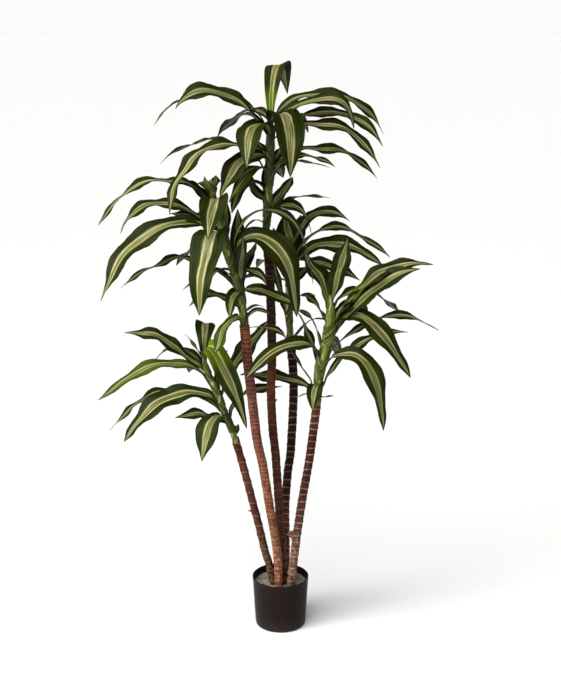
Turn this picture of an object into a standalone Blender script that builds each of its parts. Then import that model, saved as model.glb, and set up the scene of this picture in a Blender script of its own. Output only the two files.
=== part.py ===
"""Potted dracaena, 1.5 m tall: five slim ring-scarred canes fan out of one small tapered
pot, and each carries a head of long cream-striped leaves. +Z up, origin at the centre of
the pot's bottom face, the viewer's side is -Y. Sizes are millimetres until MM scales them."""

import math
import random

import bmesh
import bpy
from mathutils import Matrix, Vector

MM = 0.001
GAP = 0.3
UP = Vector((0, 0, 1))

POT_HEIGHT, POT_TOP_RADIUS, POT_FOOT_RADIUS = 140, 76, 68
POT_WALL, POT_FLOOR, POT_SIDES = 2.5, 4, 40
FILL_TOP, CANE_FOOT = 120, 50
RING_RISE, RING_LENGTH, CANE_SIDES = 1.0, 2.6, 7
STEM_FOOT, STEM_TIP = 9, 3
BLADE_THICKNESS, BLADE_STEP, STALK, TIP_WIDTH = 0.8, 54, 0.24, 1.6
KEEL, WAVE, WAVE_LENGTH = 0.22, 5.5, 90
SWAY, SWAY_LENGTH = 4, 170
BACK_LEAVES = 3
BACK_BEARINGS = {"a": (75, 160), "b": (80, 165), "c": (30, 150), "d": (40, 140), "e": (15, 80)}

BARK = {
    "a": (0.16, 0.055, 0.035),
    "b": (0.38, 0.13, 0.065),
    "c": (0.14, 0.055, 0.025),
    "d": (0.035, 0.012, 0.009),
    "e": (0.13, 0.06, 0.035),
}
LEAF_GREEN = (0.035, 0.085, 0.015)

# Distance between leaf-scar rings, the cane's radius at its foot and at its top, and its
# centre line from the fill upwards.
CANES = {
    "a": (34, 9.8, 9.8, [(-18, -8, 120), (-29, -10, 171), (-42, -11, 216), (-58, -13, 290), (-77, -16, 371),
               (-94, -18, 443), (-116, -20, 528)]),
    "b": (28, 10.4, 12.0, [(-4, -31, 120), (-7, -33, 194), (-15, -36, 271), (-26, -39, 338), (-46, -44, 472),
               (-61, -47, 546), (-73, -52, 656), (-84, -56, 764), (-91, -60, 857)]),
    "c": (28, 10.4, 10.8, [(10, -5, 120), (7, -5, 190), (0, -6, 278), (-4, -6, 344), (-13, -7, 489),
               (-20, -7, 559), (-25, -8, 670), (-22, -8, 778), (-28, -10, 988), (-38, -10, 1073)]),
    "d": (26, 10.4, 10.8, [(12, 21, 120), (14, 26, 214), (13, 33, 328), (20, 40, 427), (27, 43, 477),
               (33, 50, 588), (35, 56, 678), (28, 62, 764)]),
    "e": (24, 10.4, 10.4, [(27, -28, 120), (36, -33, 203), (46, -38, 292), (59, -44, 388), (74, -50, 483),
               (86, -56, 581), (93, -60, 645)]),
}

# The green stem that carries the leaves goes on from the top of its cane.
STEMS = {
    "a": [(-116, -20, 528), (-132, -20, 577), (-145, -20, 610), (-165, -20, 665), (-188, -20, 722),
          (-200, -20, 762)],
    "b": [(-91, -60, 857), (-97, -60, 922), (-104, -60, 952), (-119, -60, 998), (-133, -60, 1049),
          (-147, -60, 1112), (-164, -60, 1174), (-171, -60, 1223)],
    "c": [(-38, -10, 1073), (-34, -10, 1129), (-31, -10, 1167), (-26, -10, 1254), (-25, -10, 1344),
          (-23, -10, 1376)],
    "d": [(28, 62, 764), (25, 62, 813), (22, 62, 854), (21, 62, 894), (25, 62, 974),
          (32, 62, 1027)],
    "e": [(93, -60, 645), (98, -60, 712), (103, -60, 752), (113, -60, 792), (120, -60, 818),
          (127, -60, 870), (124, -60, 934)],
}

# Radius of each stem at its thickest, where leaf feet wrap it.
STEM_GIRTH = {"a": 9.5, "b": 10.5, "c": 10.5, "d": 9, "e": 15}

# One leaf a line: how far up the stem it grows; its tip from there (to the right, to the
# viewer, up); the angles it rises at and falls at, and how high it arches in hundredths of
# its reach; its width, how far its face is turned to the viewer, and its sideways swing.
LEAVES = {
    "a": [
        (225, 112, 100, -152, 78, 75, 52, 56, 20, -30),
        (220, 2, -80, 68, 88, 60, 65, 52, 0, 0),
        (215, -50, 20, 85, 60, -40, 45, 16, 0, 0),
        (195, -215, -20, 98, 34, 6, 43, 46, 30, 0),
        (158, -300, 10, -38, 51, 38, 48, 38, 35, 0),
        (110, -250, 50, -90, 38, 56, 46, 62, 36, 0),
        (85, -305, -20, -60, 42, 55, 45, 38, 22, 0),
        (70, 145, -60, 66, 60, 5, 45, 36, 12, 0),
        (55, -140, 20, 20, 22, 12, 45, 34, 30, 0),
        (65, -64, 80, -88, 40, 86, 52, 70, 0, 2),
        (15, 10, -20, 30, 80, -60, 45, 16, 0, 0),
        (130, 135, -50, 190, 58, -45, 46, 58, 18, 0),
    ],
    "b": [
        (318, -50, -30, 18, 75, 70, 55, 46, 12, 0),
        (310, -12, 90, -75, 50, 85, 50, 66, 0, 25),
        (220, -57, 125, -166, 48, 88, 48, 84, 0, -6),
        (300, -295, -20, -50, 50, 56, 49, 44, 18, 0),
        (245, -250, 10, -10, 30, 70, 50, 46, 28, 0),
        (245, -298, 60, -170, 18, 69, 47, 64, 32, 0),
        (95, -300, -20, -5, 46, 42, 47, 40, 16, 0),
        (130, -80, 20, -40, 45, 60, 45, 34, 10, 0),
        (115, -140, -40, -35, 40, 40, 45, 22, 0, 0),
        (35, -135, 10, 15, 48, 50, 50, 44, 22, 0),
        (80, -25, 60, -47, 40, 85, 50, 44, 0, 0),
        (20, -75, 35, -85, 12, 50, 45, 44, 16, 0),
        (10, -60, 0, -50, 10, 50, 45, 24, 0, 0),
        (15, 66, 20, 18, 34, 18, 45, 36, 16, 0),
        (30, 50, -10, 15, 50, 15, 45, 18, 0, 0),
        (90, 140, 40, -30, 8, 25, 45, 44, 30, 0),
        (110, 125, 10, 5, 30, 25, 45, 22, 10, 0),
        (140, 85, 30, -35, 25, 70, 45, 26, 20, 0),
        (105, 45, -60, 95, 80, -65, 45, 40, 0, 0),
        (95, -4, -60, 190, 85, -75, 45, 42, 0, 0),
        (85, 10, 50, 155, 85, -80, 45, 30, 0, 0),
        (205, 0, -40, 105, 80, -75, 45, 26, 0, 0),
        (160, 90, -10, 90, 75, 50, 50, 20, 0, 0),
        (160, 205, 15, -50, 85, 87, 99, 34, 15, 0),
        (180, 170, 60, -145, 52, 87, 66, 80, 30, 0),
        (328, -18, 34, 50, 85, -75, 45, 30, 0, 0),
        (235, -130, 0, 48, 22, 0, 45, 44, 30, 0),
        (300, -85, -35, 52, 35, 10, 45, 36, 25, 0),
        (330, 6, -40, 42, 85, -75, 45, 34, 0, 0),
    ],
    "c": [
        (280, 42, -110, 68, 88, 67, 108, 58, 0, 0),
        (255, -230, 30, 65, 49, 54, 48, 60, 34, 0),
        (270, -290, -40, 5, 55, 55, 48, 32, 10, 0),
        (275, -95, -20, 15, 68, 42, 58, 40, 15, 0),
        (265, -55, 110, -80, 42, 88, 52, 74, 0, -20),
        (285, 48, 120, -120, 48, 88, 52, 82, 0, 30),
        (285, 280, -20, -30, 57, 63, 45, 46, 30, 0),
        (270, 202, 60, 5, 54, 85, 50, 44, 35, 0),
        (260, 275, 40, -30, 32, 58, 46, 42, 30, 0),
        (245, 268, 60, -65, 33, 60, 46, 42, 30, 0),
        (180, 265, 20, -30, 34, 48, 45, 36, 25, 0),
        (165, 160, 40, 15, 33, 38, 45, 26, 15, 0),
        (155, 150, -30, 15, 33, 25, 45, 20, -5, 0),
        (215, -245, 92, -145, 17, 84, 50, 60, 16, 0),
        (165, -275, -30, 15, 48, 44, 46, 28, -10, 0),
        (195, -122, 60, -88, 22, 72, 45, 62, 26, 0),
        (170, -100, 60, -75, 20, 55, 45, 32, 25, 0),
        (95, -90, 30, -30, 78, 75, 75, 44, 20, 0),
        (75, 0, -50, 115, 85, -75, 45, 32, 0, 0),
        (58, 64, -40, 88, 62, -60, 45, 58, 10, 0),
        (170, -30, -50, 65, 80, -60, 45, 38, 0, 0),
        (165, 35, -50, 65, 80, -60, 45, 38, 0, 0),
        (52, 112, -20, -47, 64, 82, 54, 38, 25, 0),
        (60, 160, -60, 30, 45, 5, 45, 22, 0, 0),
        (85, -75, -25, 75, 40, -30, 45, 46, 20, 0),
    ],
    "d": [
        (240, 150, -20, 95, 86, 35, 57, 42, 28, 0),
        (235, 255, 10, 10, 61, 43, 54, 38, 20, 0),
        (215, 235, 40, 16, 50, 36, 50, 55, 36, 0),
        (235, 175, 60, -40, 5, 25, 45, 42, 30, 0),
        (20, 95, -10, 55, 50, 10, 45, 22, 5, 0),
        (115, 70, 20, 30, 45, 15, 45, 20, 10, 0),
        (20, -45, -50, 210, 75, -75, 45, 28, 0, 0),
        (220, -15, -40, 130, 85, -60, 45, 66, 0, 0),
        (215, -45, 60, 115, 70, -50, 45, 48, 0, 0),
        (195, 30, -60, 150, 85, -70, 45, 54, 0, 0),
        (95, 60, 35, -10, 30, 60, 45, 20, 10, 0),
    ],
    "e": [
        (250, 44, -60, 175, 80, -75, 45, 52, 0, 0),
        (252, -68, -60, 138, 75, -60, 45, 68, 0, 0),
        (225, 255, -10, 140, 45, 8, 46, 46, 32, 0),
        (190, 222, 30, 172, 42, -12, 45, 60, 40, 0),
        (105, 300, -10, 90, 55, 33, 46, 36, 10, 0),
        (210, 200, 60, -120, 48, 60, 47, 56, 34, 0),
        (125, -65, 20, 135, 75, -20, 45, 18, 0, 0),
        (80, -55, -40, 155, 80, -55, 45, 28, 0, 0),
        (50, 225, 10, 145, 50, 2, 45, 34, 25, 0),
        (115, 156, 60, -165, 36, 88, 58, 54, 34, 0),
        (95, -190, 90, 0, 84, 45, 58, 48, 25, 0),
        (40, -180, 25, 170, 50, 10, 45, 26, 10, 0),
        (35, -205, -172, -4, 12, 10, 45, 50, 18, 0),
        (48, -15, 50, -48, 40, 80, 50, 38, 0, 0),
        (15, 42, 10, 12, 35, 10, 45, 24, 0, 0),
        (15, -48, 20, 12, 35, 20, 45, 24, 0, 0),
        (205, -62, -20, 85, 70, -60, 45, 46, 0, 0),
        (200, 62, 15, 85, 60, -30, 45, 40, 20, 0),
    ],
}


def clear_scene():
    for piece in list(bpy.data.objects):
        bpy.data.objects.remove(piece)


def new_collection(name):
    group = bpy.data.collections.new(name)
    bpy.context.scene.collection.children.link(group)
    return group


def finish_of(name, colour, roughness):
    material = bpy.data.materials.new(name)
    material.use_nodes = True
    shader = material.node_tree.nodes["Principled BSDF"]
    shader.inputs["Base Color"].default_value = (*colour, 1)
    shader.inputs["Roughness"].default_value = roughness
    return material


def smooth_points(points, steps=6):
    """A polyline along the smooth curve through the points."""
    ends = [points[0], *points, points[-1]]
    line = []
    for before, start, end, after in zip(ends, ends[1:], ends[2:], ends[3:]):
        for step in range(steps):
            t = step / steps
            line.append([
                0.5 * (2 * s + t * (e - b) + t * t * (2 * b - 5 * s + 4 * e - a)
                       + t ** 3 * (3 * s - b - 3 * e + a))
                for b, s, e, a in zip(before, start, end, after)
            ])
    return [*line, list(points[-1])]


def centre_at(line, height):
    """The x and y of a centre line at a height, straight below its first point."""
    if height <= line[0][2]:
        return line[0][0], line[0][1]
    for start, end in zip(line, line[1:]):
        if height <= end[2]:
            t = (height - start[2]) / (end[2] - start[2])
            return start[0] + t * (end[0] - start[0]), start[1] + t * (end[1] - start[1])
    return line[-1][0], line[-1][1]


def turned(name, profile, sides, group, line=None):
    """A solid turned from a profile of radius and height, then leaned along a centre line."""
    outline = bpy.data.meshes.new(name + "_profile")
    outline.from_pydata([(r * MM, 0, z * MM) for r, z in profile],
                        [(i, i + 1) for i in range(len(profile) - 1)], [])
    lathe = bpy.data.objects.new(name + "_profile", outline)
    group.objects.link(lathe)
    screw = lathe.modifiers.new("turn", "SCREW")
    screw.steps = screw.render_steps = sides
    screw.use_merge_vertices = True
    screw.merge_threshold = 0.00002
    bpy.context.view_layer.update()
    solid = bpy.data.meshes.new_from_object(lathe.evaluated_get(bpy.context.evaluated_depsgraph_get()))
    solid.name = name
    bpy.data.objects.remove(lathe)
    if line:
        for vertex in solid.vertices:
            x, y = centre_at(line, vertex.co.z / MM)
            vertex.co.x += x * MM
            vertex.co.y += y * MM
    piece = bpy.data.objects.new(name, solid)
    group.objects.link(piece)
    return piece


def midline(root, leaf):
    """The four points of the cubic curve that a leaf's middle follows."""
    _, side, front, rise_to, rise, fall, arch, _, _, swing = leaf
    across = Vector((side, -front, 0))
    away = across.normalized()
    tip = root + across + UP * rise_to
    reach = arch / 100 * (tip - root).length
    rise, fall, swing = math.radians(rise), math.radians(fall), math.radians(swing)
    leave, arrive = Matrix.Rotation(swing, 3, "Z") @ away, Matrix.Rotation(-swing, 3, "Z") @ away
    return (
        root,
        root + reach * (leave * math.cos(rise) + UP * math.sin(rise)),
        tip - reach * (arrive * math.cos(fall) - UP * math.sin(fall)),
        tip,
    )


def on_curve(knots, t):
    a, b, c, d = knots
    s = 1 - t
    place = s ** 3 * a + 3 * s * s * t * b + 3 * s * t * t * c + t ** 3 * d
    heading = s * s * (b - a) + 2 * s * t * (c - b) + t * t * (d - c)
    return place, heading.normalized()


def blade_width(t, leaf):
    """A narrow stalk, a fine tip and the widest place past half way, or before it on a leaf
    that folds over towards the viewer."""
    _, side, front, _, _, _, _, width, _, _ = leaf
    folded = max(0, front) / math.hypot(side, front)
    swell = math.sin(math.pi * t ** (1.45 - 0.6 * folded)) ** 0.85 if 0 < t < 1 else 0
    return max(TIP_WIDTH, width * (STALK * (1 - t) ** 2 + 0.97 * swell))


def blade_point(knots, leaf, t, edge, phase):
    """A point of the blade: t from root to tip, edge from -1 to 1 across it."""
    _, side, front, _, _, _, _, _, roll, _ = leaf
    place, heading = on_curve(knots, t)
    across = Vector((front, side, 0)).normalized()
    face = heading.cross(across)
    turn = math.radians(roll) * (-1 if side > 0 else 1)
    across, face = (
        across * math.cos(turn) - face * math.sin(turn),
        face * math.cos(turn) + across * math.sin(turn),
    )
    half = blade_width(t, leaf) / 2
    run = t * (knots[3] - knots[0]).length * 2 * math.pi
    wave = WAVE * min(1, half / 15) * math.sin(
        run / WAVE_LENGTH / (0.8 + 0.07 * phase) + phase + 1.3 * edge)
    lift = half * (KEEL + 0.5 * (1 - t) ** 4) * abs(edge) + wave * abs(edge)
    sway = SWAY * math.sin(run / SWAY_LENGTH + 2 * phase) * math.sin(math.pi * t)
    return place + across * half * edge + face * (lift + sway)


def add_blade(name, root, leaf, phase, group):
    """A leaf: a grid two squares wide bent along its midline, with waved edges."""
    knots = midline(root, leaf)
    rows = max(3, min(6, round((knots[3] - knots[0]).length / BLADE_STEP)))
    shape = bmesh.new()
    bmesh.ops.create_grid(shape, x_segments=2, y_segments=rows, size=1)
    for vertex in shape.verts:
        t, edge = (vertex.co.y + 1) / 2, vertex.co.x
        vertex.co = blade_point(knots, leaf, t, edge, phase) * MM
    bmesh.ops.triangulate(shape, faces=shape.faces)
    mesh = bpy.data.meshes.new(name)
    shape.to_mesh(mesh)
    shape.free()
    blade = bpy.data.objects.new(name, mesh)
    group.objects.link(blade)
    solidify = blade.modifiers.new("thickness", "SOLIDIFY")
    solidify.thickness = BLADE_THICKNESS * MM
    solidify.offset = 0
    return blade


def back_leaves(key, stem):
    """Leaves on the side that faces away from the viewer, spread evenly by rule."""
    draw = random.Random("back" + key)
    height = stem[-1][2] - stem[0][2]
    leaves = []
    for i in range(BACK_LEAVES):
        first, last = BACK_BEARINGS[key]
        bearing = math.radians(first + (last - first) * (i + draw.uniform(0.2, 0.8)) / BACK_LEAVES)
        reach = draw.uniform(150, 210)
        leaves.append((
            height * draw.uniform(0.45, 0.9), reach * math.cos(bearing), -reach * math.sin(bearing),
            draw.uniform(-60, 60), draw.uniform(45, 60), draw.uniform(30, 60), 47,
            draw.uniform(36, 52), 0, draw.uniform(-20, 20),
        ))
    return leaves


def add_cane(key, green):
    pitch, foot_radius, top_radius, points = CANES[key]
    line = smooth_points(points)
    top = points[-1][2]
    profile = [(0, top), (top_radius, top)]
    ring = top - pitch / 2
    while ring > FILL_TOP + 12:
        radius = foot_radius + (top_radius - foot_radius) * (ring - FILL_TOP) / (top - FILL_TOP)
        profile += [(radius + RING_RISE, ring), (radius, ring - RING_LENGTH)]
        ring -= pitch
    profile += [(foot_radius, FILL_TOP), (foot_radius, CANE_FOOT), (0, CANE_FOOT)]
    cane = turned("cane_" + key, profile, CANE_SIDES, green, line)
    cane.data.materials.append(finish_of("bark_" + key, BARK[key], 0.65))


def fill_pockets(mesh):
    """Keeps the outer skin only: the shells of sealed pockets and flat flaps go."""
    shape = bmesh.new()
    shape.from_mesh(mesh)
    bmesh.ops.triangulate(shape, faces=shape.faces)
    unseen, shells = set(shape.faces), []
    while unseen:
        shell, reached = [], [unseen.pop()]
        while reached:
            face = reached.pop()
            shell.append(face)
            for edge in face.edges:
                for other in edge.link_faces if len(edge.link_faces) == 2 else ():
                    if other in unseen:
                        unseen.remove(other)
                        reached.append(other)
        shells.append(shell)
    keep = max(shells, key=len)
    spare = [face for shell in shells if shell is not keep for face in shell]
    bmesh.ops.delete(shape, geom=spare, context="FACES")
    shape.to_mesh(mesh)
    shape.free()


def stem_radius(key, share):
    """A stem's radius from its tip, share 0, over its thickest middle to its foot, share 1."""
    girth = STEM_FOOT + (STEM_GIRTH[key] - STEM_FOOT) * min(1, 2 - 2 * share)
    return STEM_TIP + (girth - STEM_TIP) * min(1, 4 * share)


def add_head(key, plant):
    points = STEMS[key]
    stem = smooth_points([(x, y, z + GAP) for x, y, z in points])
    foot, top = stem[0][2], stem[-1][2]
    profile = [(0, top)]
    rings = 8
    for i in range(rings + 1):
        share = i / rings
        profile.append((stem_radius(key, share), top - share * (top - foot)))
    profile += [(0, foot)]
    head = turned("head_" + key, profile, 6, plant, stem)
    draw = random.Random("leaf" + key)
    blades = new_collection("leaves_" + key)
    for i, leaf in enumerate(LEAVES[key] + back_leaves(key, stem)):
        height = min(foot + leaf[0], top - 6)
        root = Vector((*centre_at(stem, height), height))
        add_blade(f"leaf_{key}_{i}", root, leaf, draw.uniform(0, 2 * math.pi), blades)
    union = head.modifiers.new("leaves", "BOOLEAN")
    union.operation = "UNION"
    union.operand_type = "COLLECTION"
    union.collection = blades
    union.solver = "EXACT"
    bpy.context.view_layer.update()
    joined = bpy.data.meshes.new_from_object(head.evaluated_get(bpy.context.evaluated_depsgraph_get()))
    head.modifiers.clear()
    fill_pockets(joined)
    head.data = joined
    for blade in list(blades.objects):
        bpy.data.objects.remove(blade)
    bpy.data.collections.remove(blades)
    head.data.materials.clear()
    head.data.materials.append(finish_of("leaf_" + key, LEAF_GREEN, 0.4))


def pot_radius(height):
    return POT_FOOT_RADIUS + (POT_TOP_RADIUS - POT_FOOT_RADIUS) * height / POT_HEIGHT


def add_pot(plant):
    profile = [
        (0, POT_FLOOR),
        (pot_radius(POT_FLOOR) - POT_WALL, POT_FLOOR),
        (POT_TOP_RADIUS - POT_WALL, POT_HEIGHT - 0.6),
        (POT_TOP_RADIUS - POT_WALL / 2, POT_HEIGHT),
        (POT_TOP_RADIUS, POT_HEIGHT - 0.6),
        (pot_radius(4), 4),
        (pot_radius(1.5) - 0.8, 1.2),
        (POT_FOOT_RADIUS - 3, 0),
        (0, 0),
    ]
    pot = turned("pot", profile, POT_SIDES, plant)
    pot.data.materials.append(finish_of("pot_black", (0.02, 0.018, 0.018), 0.55))


def add_fill(plant, cutters):
    foot = POT_FLOOR + GAP
    spare = POT_WALL + GAP
    profile = [
        (0, FILL_TOP),
        (pot_radius(FILL_TOP) - spare - 0.1, FILL_TOP),
        (pot_radius(foot) - spare - 0.1, foot),
        (0, foot),
    ]
    fill = turned("fill", profile, POT_SIDES, plant)
    for key, (_, foot_radius, _, points) in CANES.items():
        x, y, _ = points[0]
        bpy.ops.mesh.primitive_cylinder_add(
            vertices=12, radius=(foot_radius + GAP + 0.5) * MM, depth=100 * MM,
            location=(x * MM, y * MM, (CANE_FOOT - GAP + 50) * MM),
        )
        hole = bpy.context.object
        hole.name = "hole_" + key
        hole.hide_render = True
        hole.display_type = "WIRE"
        for group in list(hole.users_collection):
            group.objects.unlink(hole)
        cutters.objects.link(hole)
        cut = fill.modifiers.new("hole_" + key, "BOOLEAN")
        cut.object = hole
    fill.data.materials.append(finish_of("fill_grey", (0.2, 0.17, 0.155), 0.9))


def main():
    clear_scene()
    plant = new_collection("potted_dracaena")
    cutters = new_collection("cutters")
    add_pot(plant)
    add_fill(plant, cutters)
    for key in CANES:
        add_cane(key, plant)
        add_head(key, plant)


if __name__ == "__main__":
    main()
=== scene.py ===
"""Potted dracaena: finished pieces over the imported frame. Five ring-scarred canes stand in
one small black pot and carry heads of long, cream-striped leaves. Metres, +Z up, the
viewer's side is -Y. Tables and profiles hold millimetres until MM scales them."""

import math
import random

import bpy
from mathutils import Matrix, Vector, noise


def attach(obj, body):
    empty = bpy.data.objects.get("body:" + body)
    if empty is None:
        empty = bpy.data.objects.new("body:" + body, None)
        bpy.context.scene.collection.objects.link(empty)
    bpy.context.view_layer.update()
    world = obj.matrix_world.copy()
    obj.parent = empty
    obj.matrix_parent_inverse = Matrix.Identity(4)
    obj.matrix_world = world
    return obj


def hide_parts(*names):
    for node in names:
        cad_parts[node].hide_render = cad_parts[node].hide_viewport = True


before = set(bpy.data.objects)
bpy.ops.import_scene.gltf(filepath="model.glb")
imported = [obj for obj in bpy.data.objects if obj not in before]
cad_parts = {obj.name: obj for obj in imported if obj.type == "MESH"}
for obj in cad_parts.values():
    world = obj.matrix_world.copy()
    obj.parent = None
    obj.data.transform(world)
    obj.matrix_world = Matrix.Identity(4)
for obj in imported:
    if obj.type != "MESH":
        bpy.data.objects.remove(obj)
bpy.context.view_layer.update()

bl_info = {
    "name": "Potted Dracaena",
    "version": (1, 0, 0),
    "blender": (4, 5, 0),
    "location": "3D View > Sidebar > Dracaena",
    "description": "Builds a tall potted dracaena with ringed canes and striped leaves",
    "category": "Add Mesh",
}

MM = 0.001
GAP = 0.3
UP = Vector((0, 0, 1))
PLANT_MIDDLE = Vector((0, 0, 0.75))

POT_SIDES = 96
FILL_TOP, CANE_FOOT = 120, 50
CANE_SIDES, CANE_ROW = 24, 1.8
STEM_SIDES, STEM_ROW = 16, 5
BLADE_COLUMNS, BLADE_ROWS = 12, 46
STEM_FOOT, STEM_TIP = 9, 3
STALK, TIP_WIDTH = 0.24, 1.6
SWAY, SWAY_LENGTH = 4, 170
SHEATH_SHARE, SHEATH_LENGTH, SHEATH_FADE = 0.09, 26, 0.12
BACK_LEAVES = 3
BACK_BEARINGS = {"a": (75, 160), "b": (80, 165), "c": (30, 150), "d": (40, 140), "e": (15, 80)}

BARK_SPAN = 1100
CAMERA_PLACE, CAMERA_PITCH = (0, -3.04, 1.59), 15.0

# Each cane's radius at its foot and at its top, and its centre line from the fill
# upwards: right, away from the viewer, up.
CANES = {
    "a": (9.8, 9.8, [(-18, -8, 120), (-29, -10, 171), (-42, -11, 216), (-58, -13, 290), (-77, -16, 371),
               (-94, -18, 443), (-116, -20, 528)]),
    "b": (10.4, 12.0, [(-4, -31, 120), (-7, -33, 194), (-15, -36, 271), (-26, -39, 338), (-46, -44, 472),
               (-61, -47, 546), (-73, -52, 656), (-84, -56, 764), (-91, -60, 857)]),
    "c": (10.4, 10.8, [(10, -5, 120), (7, -5, 190), (0, -6, 278), (-4, -6, 344), (-13, -7, 489),
               (-20, -7, 559), (-25, -8, 670), (-22, -8, 778), (-28, -10, 988), (-38, -10, 1073)]),
    "d": (10.4, 10.8, [(12, 21, 120), (14, 26, 214), (13, 33, 328), (20, 40, 427), (27, 43, 477),
               (33, 50, 588), (35, 56, 678), (28, 62, 764)]),
    "e": (10.4, 10.4, [(27, -28, 120), (36, -33, 203), (46, -38, 292), (59, -44, 388), (74, -50, 483),
               (86, -56, 581), (93, -60, 645)]),
}

# The green stem that carries the leaves goes on from the top of its cane.
STEMS = {
    "a": [(-116, -20, 528), (-132, -20, 577), (-145, -20, 610), (-165, -20, 665), (-188, -20, 722),
          (-200, -20, 762)],
    "b": [(-91, -60, 857), (-97, -60, 922), (-104, -60, 952), (-119, -60, 998), (-133, -60, 1049),
          (-147, -60, 1112), (-164, -60, 1174), (-171, -60, 1223)],
    "c": [(-38, -10, 1073), (-34, -10, 1129), (-31, -10, 1167), (-26, -10, 1254), (-25, -10, 1344),
          (-23, -10, 1376)],
    "d": [(28, 62, 764), (25, 62, 813), (22, 62, 854), (21, 62, 894), (25, 62, 974),
          (32, 62, 1027)],
    "e": [(93, -60, 645), (98, -60, 712), (103, -60, 752), (113, -60, 792), (120, -60, 818),
          (127, -60, 870), (124, -60, 934)],
}

# Radius of each stem at its thickest, where leaf feet wrap it.
STEM_GIRTH = {"a": 9.5, "b": 10.5, "c": 10.5, "d": 9, "e": 15}

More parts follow.
